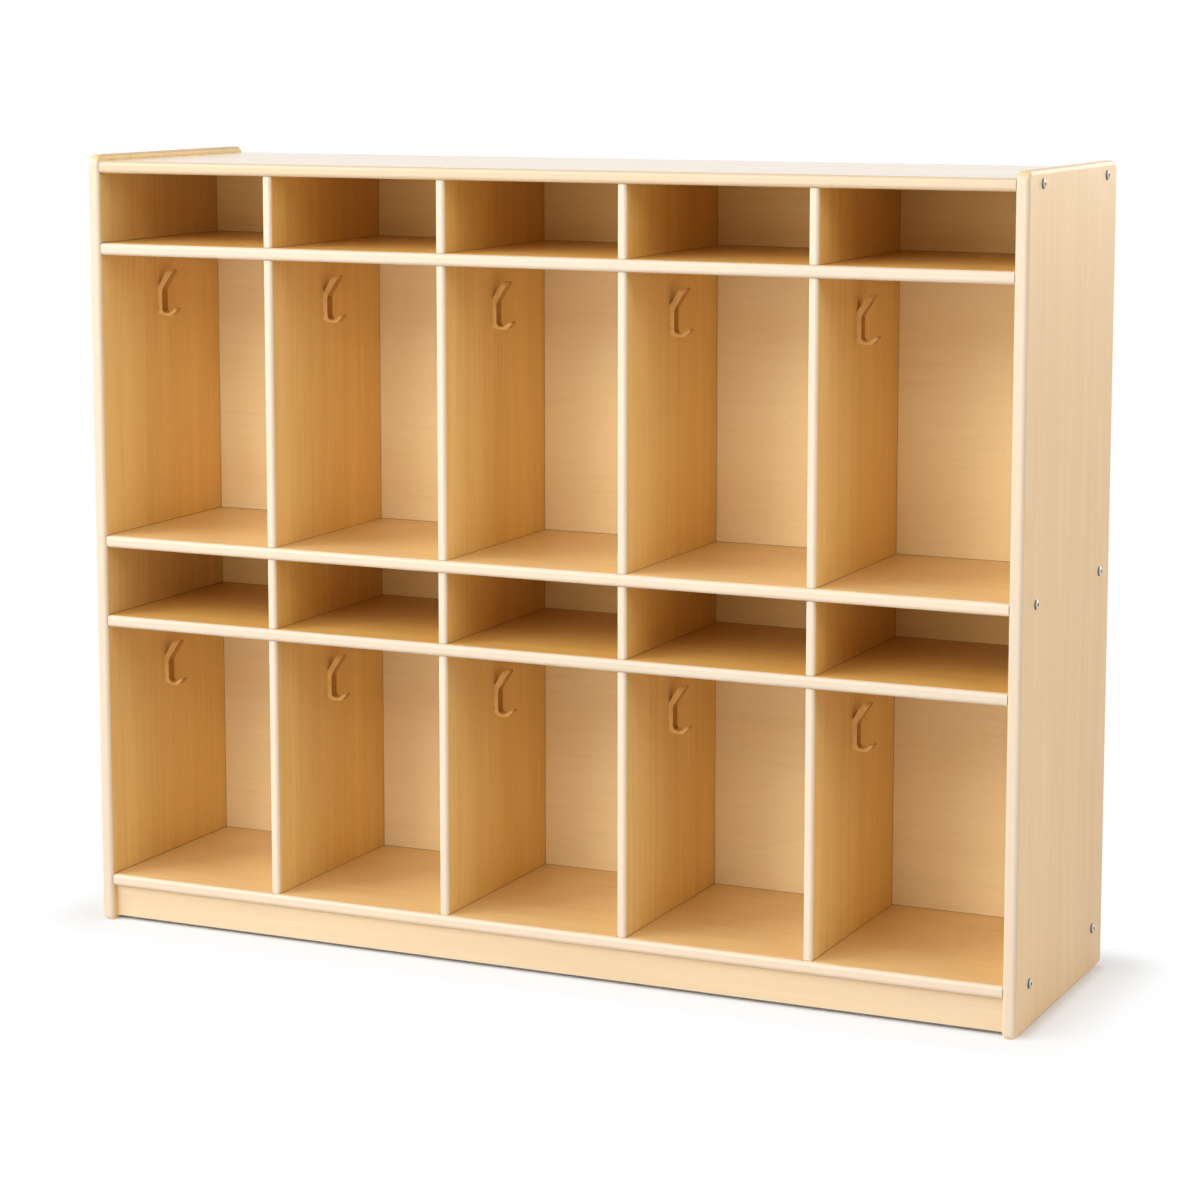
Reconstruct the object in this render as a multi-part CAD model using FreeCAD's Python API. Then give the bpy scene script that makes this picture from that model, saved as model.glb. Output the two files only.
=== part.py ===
import FreeCAD, Part
import math
import os

from FreeCAD import Vector

# Open coat locker unit: two tiers of five bays, each a cubby over a coat locker with one hook.
# Millimetres, +Z up. The origin is on the floor below the middle of the unit. The front faces -Y.

# Carcass boards
unit_width = 1220.0  # over the two side panels
unit_depth = 350.0  # of the side panels
bay_count = 5
side_thickness = 16.0
shelf_thickness = 15.0
divider_thickness = 12.0
back_thickness = 6.0

# Clear heights, from the floor up
base_height = 46.0  # floor to the underside of the bottom panel
lower_locker_height = 322.0
lower_cubby_height = 87.0
upper_locker_height = 355.0
upper_cubby_height = 87.0
side_rise = 8.0  # the side panels above the top panel

# Depths: the first three from the front edge of the side panels, the last two from their back edge
shelf_setback = 2.0
divider_setback = 6.0
kick_setback = 10.0
rear_setback = 6.0  # of the top, middle and bottom panels
back_recess = 64.0  # to the rear face of the back panels

# Roundings of the boards
side_corner_radius = 12.0
foot_corner_radius = 7.0
side_edge_round = 5.0
shelf_edge_round = 5.0
divider_edge_round = 4.5
kick_edge_round = 2.0
wall_round_share = 0.45  # the largest rounding, of the board's thickness
corner_round_share = 0.85  # the largest edge rounding, of the corner radius it runs round

# Back panels in their grooves
groove_depth = 4.0
groove_clearance = 0.3

# Kick board
kick_thickness = 15.0
kick_floor_gap = 5.0

# Connector bolts and their barrel nuts
bolt_from_front = 52.0
bolt_rear_share = 0.35  # of the ledge behind the back panel, from the panel's rear face
bolt_radius = 3.0
bolt_hole_clearance = 0.5
bolt_head_radius = 6.5
bolt_head_height = 3.0
bolt_socket_flats = 4.0
bolt_socket_depth = 1.8
bolt_end_length = 4.0  # past the barrel nut
nut_from_end = 34.0  # shelf end to the barrel nut's axis
nut_radius = 5.0
nut_length = 11.0
nut_slot_width = 1.4
nut_slot_depth = 1.2
nut_thread_clearance = 0.1
nut_hole_clearance = 0.2

# Dowels
shelf_dowel_radius = 4.0
shelf_dowel_depth = 24.0  # into the shelf
shelf_dowel_side_depth = 10.0  # into the side panel
shelf_dowel_shares = (0.14, 0.5, 0.86)  # along the depth of a shelf that has no bolts
bolted_dowel_shares = (0.5,)  # along the depth of a bolted panel
divider_dowel_radius = 3.0
divider_dowel_depth = 20.0  # into the divider
divider_dowel_blind_depth = 9.0  # into the top and bottom panels
divider_dowel_shares = (0.18, 0.8)  # along the divider's depth
kick_dowel_radius = 4.0
kick_dowel_depth = 20.0  # into the kick board
kick_dowel_seat_depth = 9.0  # into the side panel or the bottom panel
kick_end_dowel_shares = (0.28, 0.72)  # of the kick board's height
kick_top_dowel_shares = (0.1, 0.3, 0.5, 0.7, 0.9)  # of the kick board's length
dowel_clearance = 0.1  # all round
dowel_end_clearance = 0.8  # at the bottom of a blind hole
dowel_chamfer = 0.8

# Coat hooks
hook_height = 59.4
hook_reach = 27.8  # wall to the lower tip
hook_width = 13.5
hook_bar_thickness = 5.8
hook_tip_thickness = 1.9  # end of the lower prong
hook_tip_round_share = 0.44  # of the tip's thickness
hook_crown_radius = 9.0  # top of the upper prong
hook_upper_tip_radius = 1.2
hook_throat_radius = 14.0  # upper prong to bar
hook_crook_radius = 6.2  # bar to lower prong
hook_heel_radius = 5.0
hook_sole_radius = 8.0
hook_end_radius = 6.0  # corners of the two prongs' ends
hook_edge_round = 0.7
corner_reach_share = 0.48  # the furthest a corner's rounding goes along its shorter side
bar_foot_share = 0.045  # up the wall, of the hook's height
bar_top_share = 0.64
throat_share = 0.566
crook_foot_share = -0.012
crown_share = 0.472  # out from the wall, of the hook's reach
upper_tip_share = 0.832
heel_share = 0.688
sole_share = 0.298
lower_tip_shares = (0.979, 0.181)  # of the reach and of the height
hook_relief_radius = 1.2  # moulded relief across the back of the bar
hook_relief_share = 0.17  # of the hook's height
hook_from_front = 140.0  # front edge of the side panels to the middle of the hook
upper_hook_drop = 86.0  # underside of the shelf above to the hook's lowest point
lower_hook_drop = 98.0
hook_screw_shares = (0.28, 0.52)  # of the hook's height
hook_screw_wall_share = 0.7  # of the wall that it goes into
hook_screw_radius = 1.75
hook_screw_head_radius = 3.4

# Back panel screws
back_screw_radius = 1.5
back_screw_head_radius = 3.0
back_screw_reach = 18.0  # into the board
locker_screw_shares = (0.25, 0.75)  # of a locker divider's height
cubby_screw_shares = (0.5,)  # of a cubby divider's height
shelf_screw_share = 0.5  # of a bay's width, into the cubby shelf

screw_clearance = 0.1  # all round
recess_width_share = 0.24  # of the head's radius
recess_length_share = 1.1
recess_depth_share = 0.35

cut_overrun = 1.0
match_tolerance = 0.01

# Levels and faces worked out from the sizes above
left_face = -unit_width / 2 + side_thickness
right_face = unit_width / 2 - side_thickness
inner_width = right_face - left_face
front_face = -unit_depth / 2
rear_face = unit_depth / 2
back_panel_rear = rear_face - back_recess
back_panel_front = back_panel_rear - back_thickness
shelf_front = front_face + shelf_setback
divider_front = front_face + divider_setback
panel_rear = rear_face - rear_setback
kick_front = front_face + kick_setback

bottom_level = base_height
lower_locker_level = bottom_level + shelf_thickness
lower_cubby_shelf_level = lower_locker_level + lower_locker_height
lower_cubby_level = lower_cubby_shelf_level + shelf_thickness
middle_level = lower_cubby_level + lower_cubby_height
upper_locker_level = middle_level + shelf_thickness
upper_cubby_shelf_level = upper_locker_level + upper_locker_height
upper_cubby_level = upper_cubby_shelf_level + shelf_thickness
top_level = upper_cubby_level + upper_cubby_height
unit_height = top_level + shelf_thickness + side_rise

bolt_places = (
    front_face + bolt_from_front,
    back_panel_rear + bolt_rear_share * (panel_rear - back_panel_rear),
)
bolted_levels = (bottom_level, middle_level, top_level)
cubby_shelf_levels = (lower_cubby_shelf_level, upper_cubby_shelf_level)
divider_centres = [left_face + n * inner_width / bay_count for n in range(1, bay_count)]
divider_rows = (
    ("lower_locker_divider", lower_locker_level, lower_locker_height, locker_screw_shares),
    ("lower_cubby_divider", lower_cubby_level, lower_cubby_height, cubby_screw_shares),
    ("upper_locker_divider", upper_locker_level, upper_locker_height, locker_screw_shares),
    ("upper_cubby_divider", upper_cubby_level, upper_cubby_height, cubby_screw_shares),
)
back_panel_spans = (
    ("lower_back_panel", lower_locker_level, middle_level),
    ("upper_back_panel", upper_locker_level, top_level),
)
hook_feet = (
    ("lower_coat_hook", lower_cubby_shelf_level - lower_hook_drop),
    ("upper_coat_hook", upper_cubby_shelf_level - upper_hook_drop),
)
hook_walls = [left_face] + [centre + divider_thickness / 2 for centre in divider_centres]
hook_place = front_face + hook_from_front


# Shapes that several pieces use


def block(low, high):
    """Box between two opposite corners."""
    size = high - low
    return Part.makeBox(size.x, size.y, size.z, low)


def rod(radius, start, end):
    """Round bar from one point to another."""
    along = end - start
    return Part.makeCylinder(radius, along.Length, start, along)


def dowel(radius, start, end):
    """Round bar with chamfered ends."""
    bar = rod(radius, start, end)
    rims = [edge for edge in bar.Edges if edge.Closed]
    return bar.makeChamfer(dowel_chamfer, rims)


def extended(start, end, extra):
    """End point moved on by an extra length along the line from the start."""
    along = end - start
    return end + along.normalize() * extra


def edges_along(shape, direction, test):
    """Straight edges parallel to a direction whose middle point passes a test."""
    chosen = []
    for edge in shape.Edges:
        if edge.Curve.TypeId != "Part::GeomLine":
            continue
        if abs(abs(edge.tangentAt(edge.FirstParameter).dot(direction)) - 1) > match_tolerance:
            continue
        if test(edge.CenterOfMass):
            chosen.append(edge)
    return chosen


def near(value, target):
    """Whether two coordinates are the same place."""
    return abs(value - target) < match_tolerance


def cut_all(shape, tools):
    """Shape with every tool taken away."""
    if not tools:
        return shape
    return shape.cut(Part.makeCompound(tools))


def countersunk_screw(radius, head_radius, length):
    """Screw along +X from the origin, with its head's flat face at X = 0 and a cross recess."""
    cone_length = head_radius - radius
    head = Part.makeCone(head_radius, radius, cone_length, Vector(), Vector(1, 0, 0))
    shank = rod(radius, Vector(), Vector(length, 0, 0))
    half_length = recess_length_share * head_radius / 2
    half_width = recess_width_share * head_radius / 2
    depth = recess_depth_share * head_radius
    slots = [
        block(Vector(-cut_overrun, -half_length, -half_width), Vector(depth, half_length, half_width)),
        block(Vector(-cut_overrun, -half_width, -half_length), Vector(depth, half_width, half_length)),
    ]
    return cut_all(head.fuse(shank).removeSplitter(), slots)


def countersunk_hole(radius, head_radius, length):
    """Hole for a countersunk screw along +X from the origin, with clearance all round."""
    cone_length = head_radius - radius
    mouth_radius = head_radius + screw_clearance
    bore_radius = radius + screw_clearance
    mouth = rod(mouth_radius, Vector(-cut_overrun, 0, 0), Vector())
    cone = Part.makeCone(mouth_radius, bore_radius, cone_length, Vector(), Vector(1, 0, 0))
    bore = rod(bore_radius, Vector(), Vector(length + cut_overrun, 0, 0))
    return mouth.fuse([cone, bore])


def placed(shape, place, turn=0.0):
    """Copy turned about Z through the origin, then moved to a place."""
    copy = shape.copy()
    copy.rotate(Vector(), Vector(0, 0, 1), turn)
    copy.translate(place)
    return copy


# Places of the fasteners, shared by the pieces that they pass through


def sides_and_outward():
    """Inner face of each side panel, with the way that points out of the unit."""
    return ((left_face, -1), (right_face, 1))


def shelf_dowel_lines(level, depth_start, depth_end, shares):
    """Ends of the dowels between one shelf and the two side panels: in the shelf, in the side."""
    lines = []
    height = level + shelf_thickness / 2
    for face, outward in sides_and_outward():
        for share in shares:
            across = depth_start + share * (depth_end - depth_start)
            lines.append(
                (
                    Vector(face - outward * shelf_dowel_depth, across, height),
                    Vector(face + outward * shelf_dowel_side_depth, across, height),
                )
            )
    return lines


def all_shelf_dowel_lines():
    """Ends of every dowel between a shelf or panel and the side panels."""
    lines = []
    for level in bolted_levels:
        lines += shelf_dowel_lines(level, shelf_front, back_panel_front, bolted_dowel_shares)
    for level in cubby_shelf_levels:
        lines += shelf_dowel_lines(level, shelf_front, back_panel_front, shelf_dowel_shares)
    return lines


def divider_dowel_lines():
    """Ends of every dowel between the dividers and the shelves, low end first."""
    depth = back_panel_front - divider_front
    lines = []
    for centre in divider_centres:
        for share in divider_dowel_shares:
            across = divider_front + share * depth
            spans = [
                (lower_locker_level - divider_dowel_blind_depth, lower_locker_level + divider_dowel_depth),
                (top_level - divider_dowel_depth, top_level + divider_dowel_blind_depth),
            ]
            for level in (lower_cubby_shelf_level, middle_level, upper_cubby_shelf_level):
                spans.append((level - divider_dowel_depth, level + shelf_thickness + divider_dowel_depth))
            for low, high in spans:
                lines.append((Vector(centre, across, low), Vector(centre, across, high)))
    return lines


def kick_dowel_lines():
    """Ends of every dowel of the kick board: in the kick board, in its neighbour."""
    across = kick_front + kick_thickness / 2
    height = base_height - kick_floor_gap
    lines = []
    for face, outward in sides_and_outward():
        for share in kick_end_dowel_shares:
            level = kick_floor_gap + share * height
            lines.append(
                (
                    Vector(face - outward * kick_dowel_depth, across, level),
                    Vector(face + outward * kick_dowel_seat_depth, across, level),
                )
            )
    for share in kick_top_dowel_shares:
        along = left_face + share * inner_width
        lines.append(
            (
                Vector(along, across, base_height - kick_dowel_depth),
                Vector(along, across, base_height + kick_dowel_seat_depth),
            )
        )
    return lines


def dowel_holes(lines, radius):
    """Holes for dowels, wider and longer than the dowels by their clearances."""
    holes = []
    for start, end in lines:
        low = extended(end, start, dowel_end_clearance)
        high = extended(start, end, dowel_end_clearance)
        holes.append(rod(radius + dowel_clearance, low, high))
    return holes


def bolt_seats():
    """Seat of every connector bolt on a side panel's outer face, with the way its head points."""
    seats = []
    for face, outward in sides_and_outward():
        for level in bolted_levels:
            for across in bolt_places:
                place = Vector(face + outward * side_thickness, across, level + shelf_thickness / 2)
                seats.append((place, outward))
    return seats


def bolt_length():
    """Length of a connector bolt under its head."""
    return side_thickness + nut_from_end + nut_radius + bolt_end_length


def bolt_holes():
    """Clearance holes for every connector bolt through the side panels and into the shelves."""
    holes = []
    for place, outward in bolt_seats():
        head_end = place + Vector(outward * cut_overrun, 0, 0)
        tip = place - Vector(outward * (bolt_length() + cut_overrun), 0, 0)
        holes.append(rod(bolt_radius + bolt_hole_clearance, head_end, tip))
    return holes


def nut_centres():
    """Centre of every barrel nut."""
    inward = side_thickness + nut_from_end
    return [place - Vector(outward * inward, 0, 0) for place, outward in bolt_seats()]


def nut_holes():
    """Blind holes for the barrel nuts, from the underside of the bolted panels."""
    holes = []
    for centre in nut_centres():
        mouth = centre - Vector(0, 0, shelf_thickness / 2 + cut_overrun)
        end = centre + Vector(0, 0, nut_length / 2 + nut_hole_clearance)
        holes.append(rod(nut_radius + nut_hole_clearance, mouth, end))
    return holes


def hook_places():
    """Name and lowest wall point of every coat hook, bay by bay."""
    places = []
    for name, foot in hook_feet:
        for bay, wall in enumerate(hook_walls, start=1):
            places.append((f"{name}_{bay}", Vector(wall, hook_place, foot)))
    return places


def hook_screw_length():
    """Length of a hook screw, from the bar's face into the thinnest wall."""
    return hook_bar_thickness + hook_screw_wall_share * min(divider_thickness, side_thickness)


def hook_screw_heads():
    """Middle of every hook screw's head, on the face of a hook's bar."""
    heads = []
    for name, foot in hook_places():
        for share in hook_screw_shares:
            heads.append(foot + Vector(hook_bar_thickness, 0, share * hook_height))
    return heads


def hook_screw_holes():
    """Countersunk holes for the hook screws, through the bars and into the walls."""
    hole = countersunk_hole(hook_screw_radius, hook_screw_head_radius, hook_screw_length())
    return [placed(hole, head, 180.0) for head in hook_screw_heads()]


def back_screw_heads():
    """Middle of every back panel screw's head, on the rear face of a back panel."""
    heads = []
    for level in cubby_shelf_levels:
        for bay in range(bay_count):
            along = left_face + (bay + shelf_screw_share) * inner_width / bay_count
            heads.append(Vector(along, back_panel_rear, level + shelf_thickness / 2))
    for name, level, height, shares in divider_rows:
        for centre in divider_centres:
            for share in shares:
                heads.append(Vector(centre, back_panel_rear, level + share * height))
    return heads


def back_screw_length():
    """Length of a back panel screw, head included."""
    return back_thickness + back_screw_reach


def back_screw_holes():
    """Countersunk holes for the back panel screws, through the panel and into the boards."""
    hole = countersunk_hole(back_screw_radius, back_screw_head_radius, back_screw_length())
    return [placed(hole, head, -90.0) for head in back_screw_heads()]


def back_panel_grooves():
    """Space that the back panels take up in the sides, the top, the middle and the bottom."""
    spaces = []
    for name, low, high in back_panel_spans:
        spaces.append(
            block(
                Vector(left_face - groove_depth, back_panel_front, low - groove_depth),
                Vector(right_face + groove_depth, back_panel_rear + groove_clearance, high + groove_depth),
            )
        )
    return spaces


def touching(tools, board):
    """Tools whose boxes reach into the board's box."""
    return [tool for tool in tools if tool.BoundBox.intersect(board.BoundBox)]


# Boards


def side_panel(face, outward):
    """Side panel with rounded corners, edges rounded all round, and its holes and groove."""
    outer = face + outward * side_thickness
    low = Vector(min(face, outer), front_face, 0)
    high = Vector(max(face, outer), rear_face, unit_height)
    panel = block(low, high)
    along_x = Vector(1, 0, 0)
    upper_corners = edges_along(panel, along_x, lambda middle: near(middle.z, unit_height))
    panel = panel.makeFillet(side_corner_radius, upper_corners)
    foot_corners = edges_along(panel, along_x, lambda middle: near(middle.z, 0))
    panel = panel.makeFillet(foot_corner_radius, foot_corners)
    rims = []
    for board_face in panel.Faces:
        if near(abs(board_face.normalAt(0, 0).x), 1):
            rims += board_face.Edges
    smallest_corner = min(side_corner_radius, foot_corner_radius)
    edge_round = min(
        side_edge_round,
        wall_round_share * side_thickness,
        corner_round_share * smallest_corner,
    )
    panel = panel.makeFillet(edge_round, rims)
    tools = back_panel_grooves() + bolt_holes() + hook_screw_holes()
    tools += dowel_holes(all_shelf_dowel_lines(), shelf_dowel_radius)
    tools += dowel_holes(kick_dowel_lines(), kick_dowel_radius)
    return cut_all(panel, touching(tools, panel))


def shelf(level, rear):
    """Shelf or panel between the sides, with its front edge rounded above and below, and its holes."""
    board = block(Vector(left_face, shelf_front, level), Vector(right_face, rear, level + shelf_thickness))
    front_edges = edges_along(board, Vector(1, 0, 0), lambda middle: near(middle.y, shelf_front))
    board = board.makeFillet(min(shelf_edge_round, wall_round_share * shelf_thickness), front_edges)
    tools = back_panel_grooves() if rear > back_panel_front else []
    tools += bolt_holes() + nut_holes() + back_screw_holes()
    tools += dowel_holes(all_shelf_dowel_lines(), shelf_dowel_radius)
    tools += dowel_holes(divider_dowel_lines(), divider_dowel_radius)
    tools += dowel_holes(kick_dowel_lines(), kick_dowel_radius)
    return cut_all(board, touching(tools, board))


def divider(centre, level, height):
    """Divider between two shelves, with its front edge rounded on both sides, and its holes."""
    half = divider_thickness / 2
    board = block(
        Vector(centre - half, divider_front, level),
        Vector(centre + half, back_panel_front, level + height),
    )
    front_edges = edges_along(board, Vector(0, 0, 1), lambda middle: near(middle.y, divider_front))
    board = board.makeFillet(min(divider_edge_round, wall_round_share * divider_thickness), front_edges)
    tools = hook_screw_holes() + back_screw_holes()
    tools += dowel_holes(divider_dowel_lines(), divider_dowel_radius)
    return cut_all(board, touching(tools, board))


def back_panel(low, high):
    """Thin panel whose edges stand in the grooves round it."""
    tongue = groove_depth - groove_clearance
    panel = block(
        Vector(left_face - tongue, back_panel_front, low - tongue),
        Vector(right_face + tongue, back_panel_rear, high + tongue),
    )
    return cut_all(panel, touching(back_screw_holes(), panel))


def kick_board():
    """Board under the front of the bottom panel, clear of the floor."""
    board = block(
        Vector(left_face, kick_front, kick_floor_gap),
        Vector(right_face, kick_front + kick_thickness, base_height),
    )

    def at_front_foot(middle):
        return near(middle.y, kick_front) and near(middle.z, kick_floor_gap)

    foot_edge = edges_along(board, Vector(1, 0, 0), at_front_foot)
    board = board.makeFillet(min(kick_edge_round, wall_round_share * kick_thickness), foot_edge)
    return cut_all(board, touching(dowel_holes(kick_dowel_lines(), kick_dowel_radius), board))


# Coat hook: its outline stands square to the wall, with X out from the wall and Z up from its lowest point


def hook_point(out_share, up_share):
    """Point of the hook's outline, as shares of its reach and of its height."""
    return Vector(out_share * hook_reach, 0, up_share * hook_height)


def hook_corners():
    """Corners of the hook's outline with their roundings, up the wall, over the top and back under."""
    bar_foot = Vector(hook_bar_thickness, 0, crook_foot_share * hook_height)
    tip_top = hook_point(*lower_tip_shares)
    along_prong = tip_top - bar_foot
    across_tip = along_prong.cross(Vector(0, 1, 0)).normalize() * -hook_tip_thickness
    tip_radius = hook_tip_round_share * hook_tip_thickness
    return [
        (hook_point(0, bar_foot_share), 0),
        (hook_point(0, bar_top_share), 0),
        (hook_point(crown_share, 1), hook_crown_radius),
        (hook_point(upper_tip_share, 1), hook_upper_tip_radius),
        (Vector(hook_bar_thickness, 0, throat_share * hook_height), hook_throat_radius),
        (bar_foot, hook_crook_radius),
        (tip_top, tip_radius),
        (tip_top + across_tip, tip_radius),
        (hook_point(heel_share, 0), hook_heel_radius),
        (hook_point(sole_share, 0), hook_sole_radius),
    ]


def rounded_outline(corners):
    """Closed outline through corners, each rounded by its radius as far as its two sides allow."""
    count = len(corners)
    bends = []
    for n, (corner, radius) in enumerate(corners):
        back = corners[n - 1][0] - corner
        onward = corners[(n + 1) % count][0] - corner
        half_opening = back.getAngle(onward) / 2
        reach = radius / math.tan(half_opening)
        reach = min(reach, corner_reach_share * min(back.Length, onward.Length))
        back.normalize()
        onward.normalize()
        kept_radius = reach * math.tan(half_opening)
        inward = (back + onward).normalize()
        middle = corner + inward * (kept_radius / math.sin(half_opening) - kept_radius)
        bends.append((corner + back * reach, middle, corner + onward * reach))
    stretches = []
    for n, (start, middle, end) in enumerate(bends):
        if start != end:
            stretches.append(Part.Arc(start, middle, end))
        stretches.append(Part.LineSegment(end, bends[(n + 1) % count][0]))
    return Part.Wire([stretch.toShape() for stretch in stretches])


def coat_hook():
    """Double coat hook with its back on the wall at X = 0 and its lowest point at Z = 0."""
    half = hook_width / 2
    outline = rounded_outline(hook_corners())
    outline.translate(Vector(0, -half, 0))
    hook = Part.Face(outline).extrude(Vector(0, hook_width, 0))
    rims = []
    for edge in hook.Edges:
        middle = edge.CenterOfMass
        if near(abs(middle.y), half) and not near(middle.x, 0):
            rims.append(edge)
    edge_round = min(hook_edge_round, corner_round_share * hook_tip_round_share * hook_tip_thickness)
    hook = hook.makeFillet(edge_round, rims)
    end_radius = min(hook_end_radius, wall_round_share * hook_width)
    whole = block(Vector(0, -half, 0), Vector(hook_reach, half, hook_height))
    upper_corners = edges_along(whole, Vector(1, 0, 0), lambda middle: near(middle.z, hook_height))
    outer_corners = edges_along(whole, Vector(0, 0, 1), lambda middle: near(middle.x, hook_reach))
    hook = hook.common(whole.makeFillet(end_radius, upper_corners))
    hook = hook.common(whole.makeFillet(end_radius, outer_corners))
    relief_level = hook_relief_share * hook_height
    relief = rod(
        hook_relief_radius,
        Vector(0, -half - cut_overrun, relief_level),
        Vector(0, half + cut_overrun, relief_level),
    )
    return hook.cut(relief)


def finished_hook():
    """Coat hook with its screw holes."""
    hole = countersunk_hole(hook_screw_radius, hook_screw_head_radius, hook_screw_length())
    holes = []
    for share in hook_screw_shares:
        holes.append(placed(hole, Vector(hook_bar_thickness, 0, share * hook_height), 180.0))
    return cut_all(coat_hook(), holes)


# Fasteners


def connector_bolt():
    """Bolt along X with its domed head's seat at X = 0 and its head towards +X."""
    dome_radius = (bolt_head_radius**2 + bolt_head_height**2) / (2 * bolt_head_height)
    dome = Part.makeSphere(dome_radius, Vector(bolt_head_height - dome_radius, 0, 0))
    blank = rod(bolt_head_radius, Vector(), Vector(bolt_head_height, 0, 0))
    shank = rod(bolt_radius, Vector(-bolt_length(), 0, 0), Vector())
    socket_radius = bolt_socket_flats / math.sqrt(3)
    corners = []
    for n in range(7):
        angle = math.radians(60 * n)
        corners.append(Vector(0, socket_radius * math.cos(angle), socket_radius * math.sin(angle)))
    socket = Part.Face(Part.makePolygon(corners)).extrude(Vector(bolt_socket_depth + cut_overrun, 0, 0))
    socket.translate(Vector(bolt_head_height - bolt_socket_depth, 0, 0))
    return dome.common(blank).fuse(shank).removeSplitter().cut(socket)


def barrel_nut():
    """Upright barrel nut centred on the origin, bored along X, with a slot in its lower end."""
    half = nut_length / 2
    barrel = rod(nut_radius, Vector(0, 0, -half), Vector(0, 0, half))
    reach = nut_radius + cut_overrun
    bore = rod(bolt_radius + nut_thread_clearance, Vector(-reach, 0, 0), Vector(reach, 0, 0))
    slot = block(
        Vector(-reach, -nut_slot_width / 2, -half - cut_overrun),
        Vector(reach, nut_slot_width / 2, -half + nut_slot_depth),
    )
    return cut_all(barrel, [bore, slot])


def connector_bolts():
    """Every connector bolt, as a group of separate solids."""
    bolt = connector_bolt()
    turns = {1: 0.0, -1: 180.0}
    return Part.makeCompound([placed(bolt, place, turns[outward]) for place, outward in bolt_seats()])


def barrel_nuts():
    """Every barrel nut, as a group of separate solids."""
    nut = barrel_nut()
    return Part.makeCompound([placed(nut, centre) for centre in nut_centres()])


def dowels(lines, radius):
    """A set of dowels, as a group of separate solids."""
    return Part.makeCompound([dowel(radius, start, end) for start, end in lines])


def hook_screws():
    """Every hook screw, as a group of separate solids."""
    screw = countersunk_screw(hook_screw_radius, hook_screw_head_radius, hook_screw_length())
    return Part.makeCompound([placed(screw, head, 180.0) for head in hook_screw_heads()])


def back_screws():
    """Every back panel screw, as a group of separate solids."""
    screw = countersunk_screw(back_screw_radius, back_screw_head_radius, back_screw_length())
    return Part.makeCompound([placed(screw, head, -90.0) for head in back_screw_heads()])


def pieces():
    """Every piece of the unit by name."""
    made = {
        "left_side_panel": side_panel(left_face, -1),
        "right_side_panel": side_panel(right_face, 1),
        "top_panel": shelf(top_level, panel_rear),
        "upper_cubby_shelf": shelf(upper_cubby_shelf_level, back_panel_front),
        "middle_shelf": shelf(middle_level, panel_rear),
        "lower_cubby_shelf": shelf(lower_cubby_shelf_level, back_panel_front),
        "bottom_panel": shelf(bottom_level, panel_rear),
        "kick_board": kick_board(),
    }
    for name, low, high in back_panel_spans:
        made[name] = back_panel(low, high)
    for name, level, height, shares in divider_rows:
        for number, centre in enumerate(divider_centres, start=1):
            made[f"{name}_{number}"] = divider(centre, level, height)
    hook = finished_hook()
    for name, foot in hook_places():
        made[name] = placed(hook, foot)
    made["side_connector_bolts"] = connector_bolts()
    made["bolt_barrel_nuts"] = barrel_nuts()
    made["shelf_end_dowels"] = dowels(all_shelf_dowel_lines(), shelf_dowel_radius)
    made["divider_dowels"] = dowels(divider_dowel_lines(), divider_dowel_radius)
    made["kick_board_dowels"] = dowels(kick_dowel_lines(), kick_dowel_radius)
    made["coat_hook_screws"] = hook_screws()
    made["back_panel_screws"] = back_screws()
    return made


os.makedirs("parts", exist_ok=True)
for node, shape in pieces().items():
    shape.exportStep(f"parts/{node}.step")
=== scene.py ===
"""Looks of an open coat locker unit in maple-faced board.

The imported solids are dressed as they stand, and a plain studio is set up round them, in metres.
"""

import logging
import math
from dataclasses import dataclass, replace
from enum import Enum
from functools import cache
from typing import Any

import bmesh
import bpy
from mathutils import Euler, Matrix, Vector


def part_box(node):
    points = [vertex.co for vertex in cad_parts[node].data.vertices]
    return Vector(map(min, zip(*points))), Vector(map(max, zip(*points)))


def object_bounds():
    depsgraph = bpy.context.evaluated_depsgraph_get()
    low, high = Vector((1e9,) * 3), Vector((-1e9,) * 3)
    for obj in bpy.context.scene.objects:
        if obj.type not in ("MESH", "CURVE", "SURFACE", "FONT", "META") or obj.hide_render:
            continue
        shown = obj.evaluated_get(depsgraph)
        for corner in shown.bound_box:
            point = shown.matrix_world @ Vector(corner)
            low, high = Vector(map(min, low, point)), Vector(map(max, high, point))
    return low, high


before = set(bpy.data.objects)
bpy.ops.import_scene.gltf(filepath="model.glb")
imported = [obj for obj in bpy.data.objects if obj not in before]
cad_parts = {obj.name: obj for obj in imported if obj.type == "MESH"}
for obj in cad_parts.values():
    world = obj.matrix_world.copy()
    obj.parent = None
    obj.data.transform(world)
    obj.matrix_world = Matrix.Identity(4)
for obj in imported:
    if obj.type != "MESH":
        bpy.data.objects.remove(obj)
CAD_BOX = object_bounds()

LOG = logging.getLogger("locker_unit")

Colour = tuple[float, float, float, float]
Triple = tuple[float, float, float]
Span = tuple[float, float]
Socket = bpy.types.NodeSocket

WHITE: Colour = (1.0, 1.0, 1.0, 1.0)
MILLIMETRE = 0.001
MIDDLE = 0.5  # of a mask or noise between 0 and 1
TIERS = ("lower", "upper")

# Places in the unit, from the frame's boxes
UNIT_TOP = CAD_BOX[1].z
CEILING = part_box("top_panel")[0].z
INNER_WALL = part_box("right_side_panel")[0].x
BACK_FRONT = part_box("upper_back_panel")[0].y

# Masks, each from where it begins or has gone to where it is full
LIP_TURN: Span = (0.99, 0.93)  # share of the normal that points as the board's face does
LIP_END: Span = (0.8, 0.3)  # share of the rest of the normal that points along the grain
HOLLOW_DEPTH: Span = (1.2 * MILLIMETRE, 1.45 * MILLIMETRE)  # below the ring of a bolt head's dome, where shade is painted in its socket
SIDE_TURN: Span = (0.3, 0.9)  # share of the normal that points to the right, where a hook gets painted shade
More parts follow.
